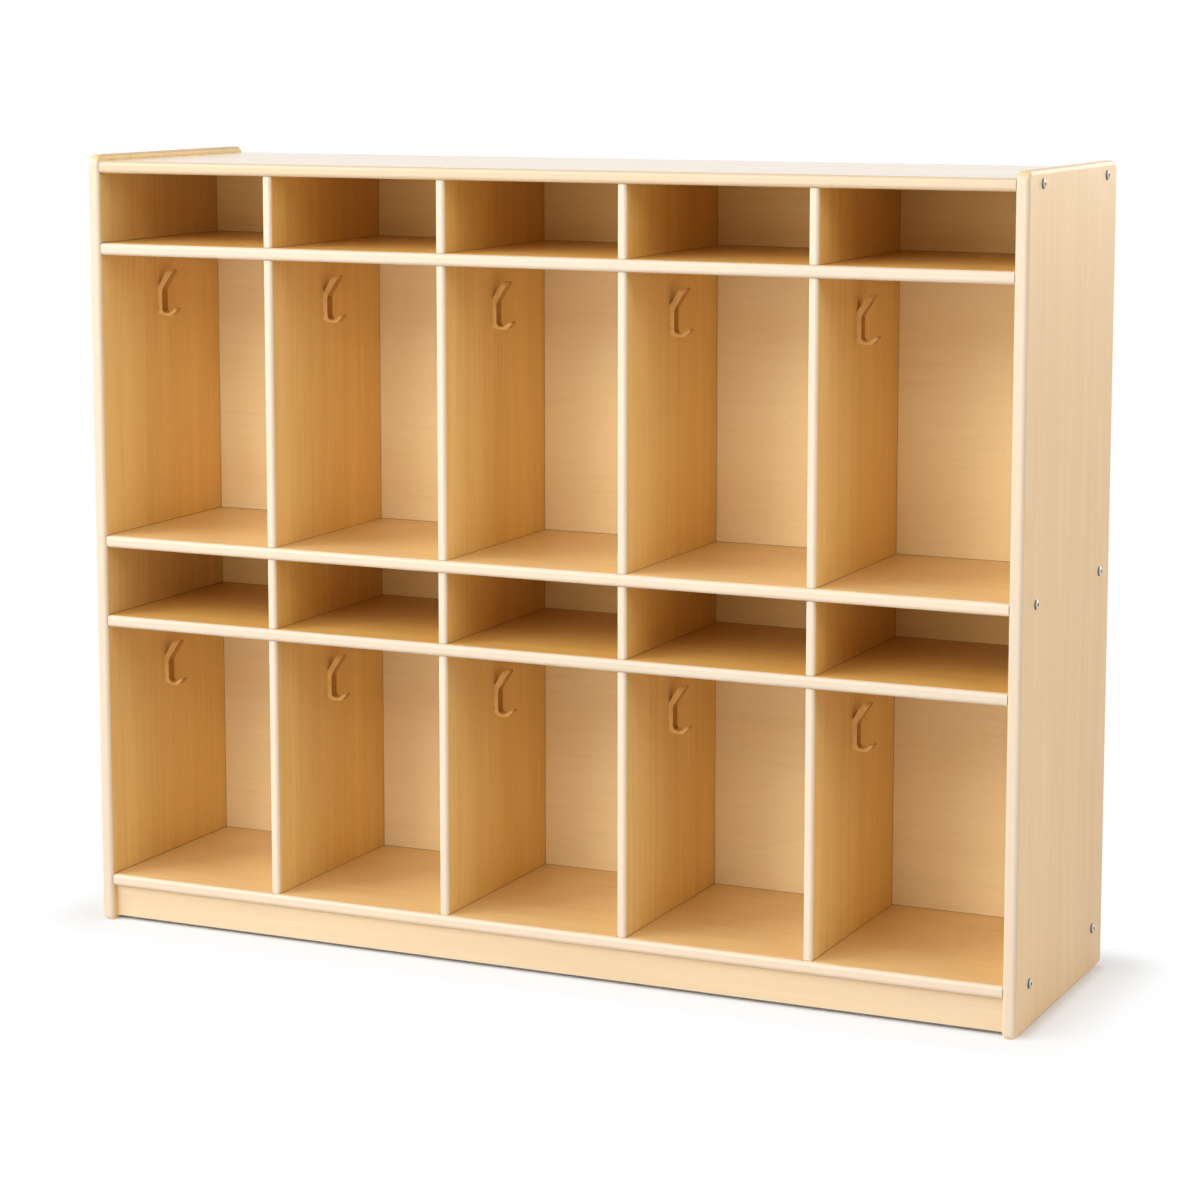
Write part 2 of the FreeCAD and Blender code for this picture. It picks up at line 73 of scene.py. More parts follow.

# Smudges: soft patches and fine specks, by cells to the metre and by share
PATCH_PITCH: Triple = (11.0, 11.0, 11.0)
SPECK_PITCH: Triple = (140.0, 140.0, 140.0)
PATCH_SHARE = 0.7
SPECK_SHARE = 0.3


class Axis(Enum):
    """A direction of the unit: across it, from front to back, or up."""

    ACROSS = (1.0, 0.0, 0.0)
    DEPTH = (0.0, 1.0, 0.0)
    UP = (0.0, 0.0, 1.0)


# Turn that lays a grain direction along the X of the figure's own coordinates
GRAIN_TURN: dict[Axis, Triple] = {
    Axis.ACROSS: (0.0, 0.0, 0.0),
    Axis.UP: (0.0, math.pi / 2, 0.0),
}


class ShaderBench:
    """A node tree in the making: adds nodes, sets their values and wires them."""

    def __init__(self, tree: bpy.types.NodeTree) -> None:
        """Takes over an empty tree.

        Args:
            tree: The material's, world's or group's node tree.
        """
        self.tree = tree
        tree.nodes.clear()

    def wire(self, socket: Socket, node: bpy.types.Node, name: Any) -> None:
        """Wires a socket to an input of a node, by the input's name or number."""
        self.tree.links.new(socket, node.inputs[name])

    def node(
        self, kind: str, feeds: dict[Any, Any] | None = None, **settings: Any
    ) -> bpy.types.Node:
        """Adds one node.

        Args:
            kind: The node's Blender type, without its prefix.
            feeds: For each input, a socket to wire in or a value to set.
            settings: Properties of the node itself.

        Returns:
            The new node.
        """
        prefix = "NodeGroup" if kind in ("Input", "Output") else "ShaderNode"
        made = self.tree.nodes.new(prefix + kind)
        for name, value in settings.items():
            setattr(made, name, value)
        for name, value in (feeds or {}).items():
            if isinstance(value, Socket):
                self.wire(value, made, name)
            else:
                made.inputs[name].default_value = value
        return made

    def math(self, operation: str, first: Any, second: Any = 0.0, clamp: bool = False) -> Socket:
        """Adds a Math node.

        Args:
            operation: Its operation.
            first: Socket or number.
            second: Socket or number.
            clamp: Whether to keep the result between 0 and 1.

        Returns:
            Its result.
        """
        feeds = {0: first, 1: second}
        return self.node("Math", feeds, operation=operation, use_clamp=clamp).outputs[0]

    def centred(self, value: Socket) -> Socket:
        """Shifts a value between 0 and 1 to lie about 0."""
        return self.math("SUBTRACT", value, MIDDLE)

    def spread(
        self, value: Socket, low: float, high: float, start: float = 0.0, end: float = 1.0
    ) -> Socket:
        """Maps a range smoothly to another one, held at its ends.

        Args:
            value: Socket to map.
            low: Value that becomes start.
            high: Value that becomes end.
            start: Result at low.
            end: Result at high.

        Returns:
            The mapped value.
        """
        feeds = {"Value": value, "From Min": low, "From Max": high, "To Min": start, "To Max": end}
        return self.node("MapRange", feeds, interpolation_type="SMOOTHSTEP").outputs["Result"]

    def noise(self, position: Socket, pitch: Triple, detail: float, **values: float) -> Socket:
        """Adds noise.

        Args:
            position: Where to read it.
            pitch: Cells to the metre along X, Y and Z.
            detail: Finer layers in it.
            values: Other inputs by name.

        Returns:
            The noise, about 0 to 1.
        """
        scaled = self.node("VectorMath", {0: position, 1: pitch}, operation="MULTIPLY")
        feeds = {"Vector": scaled.outputs["Vector"], "Scale": 1.0, "Detail": detail, **values}
        return self.node("TexNoise", feeds, normalize=True).outputs["Fac"]

    def blend(self, share: Socket, first: Any, second: Any, way: str = "MIX") -> Socket:
        """Mixes two colours.

        Args:
            share: How much of the second.
            first: Socket or colour.
            second: Socket or colour.
            way: Blend type.

        Returns:
            The mixed colour.
        """
        # The node has a set of inputs and an output for each kind of value, told by number
        feeds = {0: share, 6: first, 7: second}
        return self.node("Mix", feeds, data_type="RGBA", blend_type=way).outputs[2]


def new_group(
    name: str, inputs: dict[str, str], outputs: dict[str, str]
) -> tuple[ShaderBench, dict[str, Socket], bpy.types.Node]:
    """Starts a shader node group.

    Args:
        name: The group's name.
        inputs: Socket kind of each input: Float, Color or Vector.
        outputs: Socket kind of each output.

    Returns:
        Its bench, its input sockets by name and its output node.
    """
    tree = bpy.data.node_groups.new(name, "ShaderNodeTree")
    bench = ShaderBench(tree)
    for way, sockets in (("INPUT", inputs), ("OUTPUT", outputs)):
        for label, kind in sockets.items():
            tree.interface.new_socket(name=label, in_out=way, socket_type="NodeSocket" + kind)
    entry = bench.node("Input")
    return bench, {label: entry.outputs[label] for label in inputs}, bench.node("Output")


@dataclass(frozen=True)
class VeneerPattern:
    """Make-up of the veneer's figure.

    Pitches are cells to the metre, along the grain and twice across it.
    """

    streak: Triple = (4.0, 190.0, 190.0)
    streak_roughness: float = 0.62
    streak_bend: float = 0.3
    streak_share: float = 1.3
    pore: Triple = (45.0, 1500.0, 1500.0)
    pore_share: float = 0.3
    band: Triple = (1.4, 48.0, 48.0)
    broad: Triple = (1.6, 12.0, 12.0)
    broad_bend: float = 0.6
    line_slant: float = 0.6  # of Z to Y, across the grain
    line_pitch: float = 520.0  # radians to the metre
    line_wander: float = 34.0  # radians
    line_crest: Span = (0.35, 1.0)
    wander: Triple = (3.0, 7.0, 7.0)
    patch: Triple = (9.0, 28.0, 28.0)
    patch_edge: Span = (0.47, 0.66)
    fleck: Triple = (150.0, 800.0, 800.0)
    fleck_edge: Span = (0.66, 0.76)
    streak_height: float = -0.6
    pore_height: float = 0.4


@cache
def maple_figure() -> bpy.types.NodeTree:
    """Veneer figure with the grain along X: streaks, bands, growth lines and short flecks.

    Returns:
        The node group.
    """
    inputs = {
        "Position": "Vector",
        "Pale": "Color",
        "Deep": "Color",
        "Fleck": "Color",
        "Streaks": "Float",
        "Lines": "Float",
        "Flecks": "Float",
    }
    bench, given, out = new_group("maple_figure", inputs, {"Color": "Color", "Height": "Float"})
    look = VeneerPattern()
    place = given["Position"]
    uneven = {"Roughness": look.streak_roughness, "Distortion": look.streak_bend}
    streak = bench.noise(place, look.streak, 3.0, **uneven)
    pores = bench.noise(place, look.pore, 0.0)
    band = bench.noise(place, look.band, 1.0)
    broad = bench.noise(place, look.broad, 1.0, Distortion=look.broad_bend)

    parts = bench.node("SeparateXYZ", {0: place})
    slanted = bench.math("MULTIPLY", parts.outputs["Z"], look.line_slant)
    across = bench.math("ADD", parts.outputs["Y"], slanted)
    wander = bench.math("MULTIPLY", bench.noise(place, look.wander, 1.0), look.line_wander)
    phase = bench.math("ADD", bench.math("MULTIPLY", across, look.line_pitch), wander)
    crest = bench.spread(bench.math("SINE", phase), *look.line_crest)
    patches = bench.spread(bench.noise(place, look.patch, 1.0), *look.patch_edge)
    lines = bench.math("MULTIPLY", crest, patches)

    fine = bench.math("MULTIPLY", bench.centred(streak), look.streak_share)
    wide = bench.math("ADD", bench.centred(band), bench.centred(broad))
    tone = bench.math("MULTIPLY", bench.math("ADD", fine, wide), given["Streaks"])
    tone = bench.math("ADD", tone, bench.math("MULTIPLY", lines, given["Lines"]))
    pitted = bench.math("MULTIPLY", bench.centred(pores), look.pore_share)
    tone = bench.math("ADD", bench.math("ADD", tone, pitted), MIDDLE, clamp=True)
    colour = bench.blend(tone, given["Pale"], given["Deep"])

    fleck = bench.spread(bench.noise(place, look.fleck, 0.0), *look.fleck_edge)
    speck = bench.math("MULTIPLY", fleck, given["Flecks"])
    bench.wire(bench.blend(speck, colour, given["Fleck"]), out, "Color")
    raised = bench.math("MULTIPLY", streak, look.streak_height)
    sunk = bench.math("MULTIPLY", pores, look.pore_height)
    bench.wire(bench.math("ADD", raised, sunk), out, "Height")
    return bench.tree


@cache
def edge_lip() -> bpy.types.NodeTree:
    """Mask of a board's rounded long edges, which turn away from its faces and its ends.

    Returns:
        The node group.
    """
    inputs = {"Face": "Vector", "Grain": "Vector"}
    bench, given, out = new_group("edge_lip", inputs, {"Lip": "Float"})
    facing = bench.node("NewGeometry").outputs["Normal"]
    turned = {}
    for way in inputs:
        share = bench.node("VectorMath", {0: facing, 1: given[way]}, operation="DOT_PRODUCT")
        turned[way] = bench.math("ABSOLUTE", share.outputs["Value"])
    edge = bench.spread(turned["Face"], *LIP_TURN)
    squared = bench.math("MULTIPLY", turned["Face"], turned["Face"])
    sideways = bench.math("SQRT", bench.math("SUBTRACT", 1.0, squared))
    endwise = bench.math("DIVIDE", turned["Grain"], sideways)
    bench.wire(bench.math("MULTIPLY", edge, bench.spread(endwise, *LIP_END)), out, "Lip")
    return bench.tree


def joint_places(axis: Axis) -> tuple[float, ...]:
    """Where boards meet: at the walls of the bays across the unit, or at the shelves' faces up it.

    Args:
        axis: Across or up.

    Returns:
        The places, each once; across the unit, by their distance from its middle.
    """
    if axis is Axis.UP:
        shelves = [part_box(f"{tier}_cubby_shelf") for tier in TIERS] + [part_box("middle_shelf")]
        faces = [corner.z for shelf in shelves for corner in shelf]
        return tuple(sorted(faces + [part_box("bottom_panel")[1].z, CEILING]))
    right_half = ("upper_locker_divider_3", "upper_locker_divider_4")
    return tuple([corner.x for name in right_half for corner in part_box(name)] + [INNER_WALL])


@cache
def joint_shade_line(axis: Axis) -> bpy.types.NodeTree:
    """Mask of the thin dark lines where boards meet inside the unit: partly the joints, partly
    painted shade in the creases.

    Args:
        axis: Across for the joints with the bays' walls, up for those with the shelves.

    Returns:
        The node group.
    """
    name = f"joint_shade_line_{axis.name.lower()}"
    inputs = {"Position": "Vector", "Width": "Float"}
    bench, given, out = new_group(name, inputs, {"Line": "Float"})
    parts = bench.node("SeparateXYZ", {0: given["Position"]})
    along = parts.outputs["Z"] if axis is Axis.UP else bench.math("ABSOLUTE", parts.outputs["X"])
    nearest: Any = 1.0
    for place in joint_places(axis):
        gap = bench.math("ABSOLUTE", bench.math("SUBTRACT", along, place))
        nearest = bench.math("MINIMUM", nearest, gap)
    widths = bench.math("DIVIDE", nearest, given["Width"])
    line = bench.math("SUBTRACT", 1.0, widths, clamp=True)
    ahead = bench.math("LESS_THAN", parts.outputs["Y"], BACK_FRONT + MILLIMETRE)
    bench.wire(bench.math("MULTIPLY", line, ahead), out, "Line")
    return bench.tree


@cache
def painted_cubby_shade() -> bpy.types.NodeTree:
    """Mask of the back panels' front faces between the floor and the ceiling of the cubbies, where
    a shade is painted.

    Returns:
        The node group.
    """
    bench, given, out = new_group("painted_cubby_shade", {"Position": "Vector"}, {"Cubby": "Float"})
    parts = bench.node("SeparateXYZ", {0: given["Position"]})
    rooms = (("lower_cubby_shelf", "middle_shelf"), ("upper_cubby_shelf", "top_panel"))
    inside: Any = 0.0
    for floor, ceiling in rooms:
        over = bench.math("GREATER_THAN", parts.outputs["Z"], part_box(floor)[1].z)
        under = bench.math("LESS_THAN", parts.outputs["Z"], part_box(ceiling)[0].z)
        inside = bench.math("ADD", inside, bench.math("MULTIPLY", over, under))
    ahead = bench.math("LESS_THAN", parts.outputs["Y"], BACK_FRONT + MILLIMETRE)
    bench.wire(bench.math("MULTIPLY", inside, ahead), out, "Cubby")
    return bench.tree


@cache
def painted_recess_shade() -> bpy.types.NodeTree:
    """Mask of a bolt head's socket and rim, which lie lower than the ring of its dome, where a
    shade is painted.

    Returns:
        The node group.
    """
    inputs = {"Position": "Vector", "Ring": "Float"}
    bench, given, out = new_group("painted_recess_shade", inputs, {"Low": "Float"})
    parts = bench.node("SeparateXYZ", {0: given["Position"]})
    below = bench.math("SUBTRACT", given["Ring"], bench.math("ABSOLUTE", parts.outputs["X"]))
    bench.wire(bench.spread(below, *HOLLOW_DEPTH), out, "Low")
    return bench.tree


@cache
def painted_side_shade() -> bpy.types.NodeTree:
    """Mask of the faces that look to the right, into the bay, away from the wall a hook is on,
    which get a painted shade.

    Returns:
        The node group.
    """
    bench, _, out = new_group("painted_side_shade", {}, {"Side": "Float"})
    facing = bench.node("SeparateXYZ", {0: bench.node("NewGeometry").outputs["Normal"]})
    bench.wire(bench.spread(facing.outputs["X"], *SIDE_TURN), out, "Side")
    return bench.tree


@cache
def shaded_inside() -> bpy.types.NodeTree:
    """Mask of what lies between the sides' outer faces and under a ceiling, as the bays do, which
    gets the deeper colours of painted shade.

    Returns:
        The node group.
    """
    inputs = {"Position": "Vector", "Ceiling": "Float"}
    bench, given, out = new_group("shaded_inside", inputs, {"Inside": "Float"})
    parts = bench.node("SeparateXYZ", {0: given["Position"]})
    aside = bench.math("ABSOLUTE", parts.outputs["X"])
    between = bench.math("LESS_THAN", aside, INNER_WALL + MILLIMETRE)
    below = bench.math("SUBTRACT", parts.outputs["Z"], MILLIMETRE)
    under = bench.math("LESS_THAN", below, given["Ceiling"])
    bench.wire(bench.math("MULTIPLY", between, under), out, "Inside")
    return bench.tree


@cache
def hand_smudge() -> bpy.types.NodeTree:
    """Roughness that varies in soft patches, as handled and wiped surfaces do.

    Returns:
        The node group.
    """
    inputs = {"Position": "Vector", "Roughness": "Float", "Spread": "Float"}
    bench, given, out = new_group("hand_smudge", inputs, {"Roughness": "Float"})
    patches = bench.noise(given["Position"], PATCH_PITCH, 2.0)
    specks = bench.noise(given["Position"], SPECK_PITCH, 3.0)
    patches = bench.math("MULTIPLY", patches, PATCH_SHARE)
    mixed = bench.math("ADD", patches, bench.math("MULTIPLY", specks, SPECK_SHARE))
    varied = bench.math("MULTIPLY", bench.centred(mixed), given["Spread"])
    bench.wire(bench.math("ADD", given["Roughness"], varied, clamp=True), out, "Roughness")
    return bench.tree


class Surface:
    """A material in the making: its Principled shader, Object coordinates and a bench to add to."""

    def __init__(self, name: str) -> None:
        """Starts the material.

        Args:
            name: Its name.
        """
        self.material = bpy.data.materials.new(name)
        self.material.use_nodes = True
        self.bench = ShaderBench(self.material.node_tree)
        self.shader = self.bench.node("BsdfPrincipled")
        self.bench.node("OutputMaterial", {"Surface": self.shader.outputs["BSDF"]})
        self.position = self.bench.node("TexCoord").outputs["Object"]

    def set(self, **values: Any) -> None:
        """Sets constants on the shader's own sockets, with underscores for spaces."""
        for name, value in values.items():
            self.shader.inputs[name.replace("_", " ")].default_value = value

    def feed(self, **sockets: Socket) -> None:
        """Wires varying values to the shader, with underscores for spaces."""
        for name, socket in sockets.items():
            self.bench.wire(socket, self.shader, name.replace("_", " "))

    def group(self, tree: bpy.types.NodeTree, **feeds: Any) -> bpy.types.Node:
        """Places a shared node group and gives it its inputs by name."""
        return self.bench.node("Group", feeds, node_tree=tree)

    def smudged(self, roughness: float, spread: float) -> Socket:
        """Varies a roughness over the surface.

        Args:
            roughness: Its middle.
            spread: How far it varies.

        Returns:
            The varying roughness.
        """
        feeds = {"Position": self.position, "Roughness": roughness, "Spread": spread}
        return self.group(hand_smudge(), **feeds).outputs["Roughness"]

    def relief(self, height: Socket, depth: float, strength: float) -> None:
        """Bumps the surface.

        Args:
            height: Height between 0 and 1.
            depth: Metres from 0 to 1.
            strength: Share of the bump that shows.
        """
        feeds = {"Height": height, "Distance": depth, "Strength": strength}
        self.feed(Normal=self.bench.node("Bump", feeds).outputs["Normal"])


@dataclass(frozen=True)
class MapleFinish:
    """Clear-lacquered maple veneer on a board, with paler rounded edges; where outer colours are
    given, the outer faces get a paler lit copy and the inside keeps deeper colours as painted
    shade.
    """

    name: str
    grain: Axis
    face: Axis
    pale: Colour = (0.89, 0.62, 0.25, 1.0)
    deep: Colour = (0.75, 0.49, 0.17, 1.0)
    fleck: Colour = (0.62, 0.36, 0.13, 1.0)
    # Paler lit copies of pale and deep for the outer faces; the inner faces keep pale and deep as
    # painted shade
    lit_outer_pale: Colour | None = None
    lit_outer_deep: Colour | None = None
    cubby_shade_tint: Colour | None = None
    lip: Colour = (0.70, 0.59, 0.445, 1.0)
    lip_share: float = 0.85
    # Colour of the dark joint lines, partly painted shade in the creases
    seam_and_shade: Colour = (0.19, 0.085, 0.02, 1.0)
    seam_share: float = 0.85
    ceiling: float = CEILING
    joints: tuple[Axis, ...] = ()
    joint_width: float = 1.1 * MILLIMETRE
    lip_joints: bool = False
    streaks: float = 0.75
    lines: float = 0.2
    flecks: float = 0.12
    roughness: float = 0.45
    smudge: float = 0.18
    shine: float = 0.35
    coat: float = 0.0
    lip_coat_share: float = 0.2
    coat_roughness: float = 0.22
    relief_depth: float = 0.05 * MILLIMETRE
    relief_strength: float = 0.35

    def material(self) -> bpy.types.Material:
        """Builds the finish.

        Returns:
            The material.
        """
        surface = Surface(self.name)
        bench, place = surface.bench, surface.position
        inside = surface.group(shaded_inside(), Position=place, Ceiling=self.ceiling).outputs["Inside"]
        figure = self.figure(surface, inside)
        colour = figure.outputs["Color"]
        # Painted shade: the back panels turn darker and more orange within the cubbies
        if self.cubby_shade_tint:
            cubby = surface.group(painted_cubby_shade(), Position=place).outputs["Cubby"]
            colour = bench.blend(cubby, colour, self.cubby_shade_tint, "MULTIPLY")
        edges = surface.group(edge_lip(), Face=self.face.value, Grain=self.grain.value)
        lip = edges.outputs["Lip"]
        colour = bench.blend(bench.math("MULTIPLY", lip, self.lip_share), colour, self.lip)
        shown = inside
        if not self.lip_joints:
            shown = bench.math("MULTIPLY", inside, bench.math("SUBTRACT", 1.0, lip))
        # Dark joint lines, partly painted shade in the creases between boards
        for axis in self.joints:
            joint = surface.group(joint_shade_line(axis), Position=place, Width=self.joint_width)
            line = bench.math("MULTIPLY", joint.outputs["Line"], shown)
            colour = bench.blend(bench.math("MULTIPLY", line, self.seam_share), colour, self.seam_and_shade)
        surface.feed(Base_Color=colour, Roughness=surface.smudged(self.roughness, self.smudge))
        surface.set(Coat_Roughness=self.coat_roughness, Specular_IOR_Level=self.shine)
        if self.coat:
            lip_coat = self.lip_coat_share * self.coat
            surface.feed(Coat_Weight=bench.spread(lip, 0.0, 1.0, self.coat, lip_coat))
        surface.relief(figure.outputs["Height"], self.relief_depth, self.relief_strength)
        return surface.material

    def figure(self, surface: Surface, inside: Socket) -> bpy.types.Node:
        """Lays the veneer's figure along the grain.

        Args:
            surface: The material in the making.
            inside: Mask of what has the inner colours, painted shade, where there are lit outer
                ones.

        Returns:
            The figure's node, with its colour and height.
        """
        turn = {"Vector": surface.position, "Rotation": GRAIN_TURN[self.grain]}
        turned = surface.bench.node("Mapping", turn)
        pale, deep = self.pale, self.deep
        # Painted light: the inner faces get the deeper shaded colours, the outer faces a paler lit
        # copy
        if self.lit_outer_pale and self.lit_outer_deep:
            pale = surface.bench.blend(inside, self.lit_outer_pale, self.pale)
            deep = surface.bench.blend(inside, self.lit_outer_deep, self.deep)
        return surface.group(
            maple_figure(),
            Position=turned.outputs["Vector"],
            Pale=pale,
            Deep=deep,
            Fleck=self.fleck,
            Streaks=self.streaks,
            Lines=self.lines,
            Flecks=self.flecks,
        )


@dataclass(frozen=True)
class PlasticFinish:
    """Moulded plastic with a faint flow mottle, a fine moulded texture and a painted shade on the
    faces that look into the bay.
    """

    name: str
    colour: Colour
    mottle: Colour
    shade: Colour
    shade_share: float = 0.85
    flow: Triple = (90.0, 90.0, 35.0)
    flow_bend: float = 0.8
    mottle_edge: Span = (0.35, 0.7)
    roughness: float = 0.38
    smudge: float = 0.2
    refraction: float = 1.49
    shine: float = 0.22
    texture: Triple = (2400.0, 2400.0, 2400.0)
    relief_depth: float = 0.03 * MILLIMETRE
    relief_strength: float = 0.5

    def material(self) -> bpy.types.Material:
        """Builds the finish.

        Returns:
            The material.
        """
        surface = Surface(self.name)
        bench, place = surface.bench, surface.position
        flow = bench.noise(place, self.flow, 3.0, Distortion=self.flow_bend)
        colour = bench.blend(bench.spread(flow, *self.mottle_edge), self.colour, self.mottle)
        # Painted shade: darker on the faces that look into the bay
        side = surface.group(painted_side_shade()).outputs["Side"]
        colour = bench.blend(bench.math("MULTIPLY", side, self.shade_share), colour, self.shade)
        surface.feed(Base_Color=colour, Roughness=surface.smudged(self.roughness, self.smudge))
        surface.set(IOR=self.refraction, Specular_IOR_Level=self.shine)
        texture = bench.noise(place, self.texture, 1.0)
        surface.relief(texture, self.relief_depth, self.relief_strength)
        return surface.material


@dataclass(frozen=True)
class SteelFinish:
    """Plated steel with faint drawn marks, and painted shade in the hollows where a ring height is
    given.
    """

    name: str
    colour: Colour
    shade: Colour
    roughness: float
    ring: float | None = None
    # Painted shade in a bolt head's socket
    recess_shade: Colour = (0.09, 0.085, 0.08, 1.0)
    marks: Triple = (900.0, 900.0, 260.0)
    mark_edge: Span = (0.3, 0.7)
    smudge: float = 0.25
    relief_depth: float = 0.02 * MILLIMETRE
    relief_strength: float = 0.4

    def material(self) -> bpy.types.Material:
        """Builds the finish.

        Returns:
            The material.
        """
        surface = Surface(self.name)
        bench, place = surface.bench, surface.position
        marks = bench.noise(place, self.marks, 3.0)
        colour = bench.blend(bench.spread(marks, *self.mark_edge), self.colour, self.shade)
        if self.ring is not None:
            # Painted shade: near black in the bolt head's socket
            low = surface.group(painted_recess_shade(), Position=place, Ring=self.ring).outputs["Low"]
            colour = bench.blend(low, colour, self.recess_shade)
        surface.feed(Base_Color=colour, Roughness=surface.smudged(self.roughness, self.smudge))
        surface.set(Metallic=1.0)
        surface.relief(marks, self.relief_depth, self.relief_strength)
        return surface.material


def cover(node: str, material: bpy.types.Material) -> None:
    """Gives a solid's node its finish.

    Args:
        node: The node's name.
        material: The finish.
    """
    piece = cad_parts[node]
    piece.data.materials.clear()
    piece.data.materials.append(material)
    LOG.info("dressed %s in %s", node, material.name)


@dataclass
class Carcass:
    """Sides, panels across the unit, cubby shelves, kick board and back panels."""

    sides: tuple[str, ...] = ("left_side_panel", "right_side_panel")
    panels: tuple[str, ...] = ("middle_shelf", "bottom_panel")
    upright: MapleFinish = MapleFinish(
        "maple_upright",
        Axis.UP,
        Axis.ACROSS,
        # Paler outer colours are a lit copy; the inner faces keep the deeper colours as painted
        # shade
        lit_outer_pale=(0.91, 0.635, 0.335, 1.0),
        lit_outer_deep=(0.82, 0.54, 0.265, 1.0),
        lip=(0.68, 0.57, 0.445, 1.0),
        ceiling=UNIT_TOP,
        joints=(Axis.UP,),
        coat=0.1,
    )
    level: MapleFinish = MapleFinish(
        "maple_level",
        Axis.ACROSS,
        Axis.UP,
        pale=(0.88, 0.62, 0.29, 1.0),
        deep=(0.76, 0.505, 0.21, 1.0),
        lip=(0.71, 0.585, 0.465, 1.0),
        joints=(Axis.ACROSS,),
        shine=0.5,
        coat=0.3,
    )
    # Darker, more orange copy of the level finish: painted shade of the cubbies
    shaded_cubby_floor: MapleFinish = MapleFinish(
        "maple_cubby_floor",
        Axis.ACROSS,
        Axis.UP,
        pale=(0.78, 0.47, 0.135, 1.0),
        deep=(0.675, 0.385, 0.095, 1.0),
        lip=(0.675, 0.595, 0.495, 1.0),
        joints=(Axis.ACROSS,),
        coat=0.1,
    )
    top: MapleFinish = MapleFinish(
        "maple_top",
        Axis.ACROSS,
        Axis.UP,
        # Paler outer colours on the upper face are a lit copy; the underside keeps the deeper
        # colours as painted shade
        lit_outer_pale=(0.82, 0.62, 0.425, 1.0),
        lit_outer_deep=(0.73, 0.535, 0.34, 1.0),
        lip=(0.62, 0.47, 0.30, 1.0),
        joints=(Axis.ACROSS,),
        shine=0.5,
        coat=1.0,
    )
    front: MapleFinish = MapleFinish(
        "maple_front",
        Axis.ACROSS,
        Axis.DEPTH,
        pale=(0.75, 0.575, 0.37, 1.0),
        deep=(0.67, 0.50, 0.31, 1.0),
    )
    back: MapleFinish = MapleFinish(
        "maple_back",
        Axis.ACROSS,
        Axis.DEPTH,
        pale=(0.985, 0.80, 0.48, 1.0),
        deep=(0.90, 0.705, 0.395, 1.0),
        # Painted shade of the cubbies on the back panels
        cubby_shade_tint=(1.0, 0.89, 0.62, 1.0),
        joints=(Axis.ACROSS, Axis.UP),
        streaks=0.5,
        lines=0.25,
        shine=0.08,
    )

    def dress(self) -> None:
        """Gives every board its veneer."""
        dressed = (
            (self.upright, self.sides),
            (self.level, self.panels),
            (self.shaded_cubby_floor, [f"{tier}_cubby_shelf" for tier in TIERS]),
            (self.top, ["top_panel"]),
            (self.front, ["kick_board"]),
            (self.back, [f"{tier}_back_panel" for tier in TIERS]),
        )
        for finish, boards in dressed:
            veneer = finish.material()
            for name in boards:
                cover(name, veneer)


@dataclass
class Dividers:
    """Upright boards between the bays, a row in each cubby tier and each locker tier."""

    count: int = 4
    locker: MapleFinish = MapleFinish(
        "maple_locker_divider",
        Axis.UP,
        Axis.ACROSS,
        lip=(0.73, 0.63, 0.53, 1.0),
        joints=(Axis.UP,),
        joint_width=0.7 * MILLIMETRE,
        lip_joints=True,
    )
    # Darker, more orange copy of the locker dividers' veneer: painted shade of the cubbies
    cubby: MapleFinish = replace(
        locker,
        name="maple_shaded_cubby_divider",
        pale=(0.915, 0.595, 0.19, 1.0),
        deep=(0.775, 0.47, 0.125, 1.0),
    )

    def dress(self) -> None:
        """Gives every divider its veneer."""
        for room, finish in (("cubby", self.cubby), ("locker", self.locker)):
            veneer = finish.material()
            for tier in TIERS:
                for number in range(1, self.count + 1):
                    cover(f"{tier}_{room}_divider_{number}", veneer)


@dataclass
class CoatHooks:
    """One moulded double hook on the left wall of each locker."""

    bays: int = 5
    finish: PlasticFinish = PlasticFinish(
        "hook_tan",
        colour=(0.915, 0.58, 0.225, 1.0),
        mottle=(0.825, 0.505, 0.185, 1.0),
        # Painted shade on the faces that look into the bay
        shade=(0.385, 0.147, 0.006, 1.0),
    )

    def dress(self) -> None:
        """Gives every hook its plastic."""
        plastic = self.finish.material()
        for tier in TIERS:
            for bay in range(1, self.bays + 1):
                cover(f"{tier}_coat_hook_{bay}", plastic)


@dataclass
class Fasteners:
    """Bolts, nuts, screws and dowels, each a group of like pieces."""

    dowels: tuple[str, ...] = ("shelf_end_dowels", "divider_dowels", "kick_board_dowels")
    bolt: SteelFinish = SteelFinish(
        "bolt_plated",
        colour=(0.60, 0.58, 0.56, 1.0),
        shade=(0.50, 0.48, 0.46, 1.0),
        roughness=0.34,
        ring=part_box("side_connector_bolts")[1].x,
    )
    nut: SteelFinish = SteelFinish(
        "nut_plated",
        colour=(0.55, 0.55, 0.56, 1.0),
        shade=(0.42, 0.42, 0.43, 1.0),
        roughness=0.4,
    )
    screw: SteelFinish = SteelFinish(
        "screw_plated",
        colour=(0.60, 0.56, 0.44, 1.0),
        shade=(0.46, 0.42, 0.32, 1.0),
        roughness=0.36,
    )
    bronze: SteelFinish = SteelFinish(
        "screw_bronze",
        colour=(0.48, 0.26, 0.085, 1.0),
        shade=(0.40, 0.21, 0.07, 1.0),
        roughness=0.4,
    )
    beech: MapleFinish = MapleFinish(
        "dowel_beech",
        Axis.UP,
        Axis.DEPTH,
        lip=(0.72, 0.50, 0.30, 1.0),
    )

    def dress(self) -> None:
        """Gives every group its metal or wood."""
        cover("side_connector_bolts", self.bolt.material())
        cover("bolt_barrel_nuts", self.nut.material())
        cover("coat_hook_screws", self.bronze.material())
        cover("back_panel_screws", self.screw.material())
        beech = self.beech.material()
        for name in self.dowels:
            cover(name, beech)


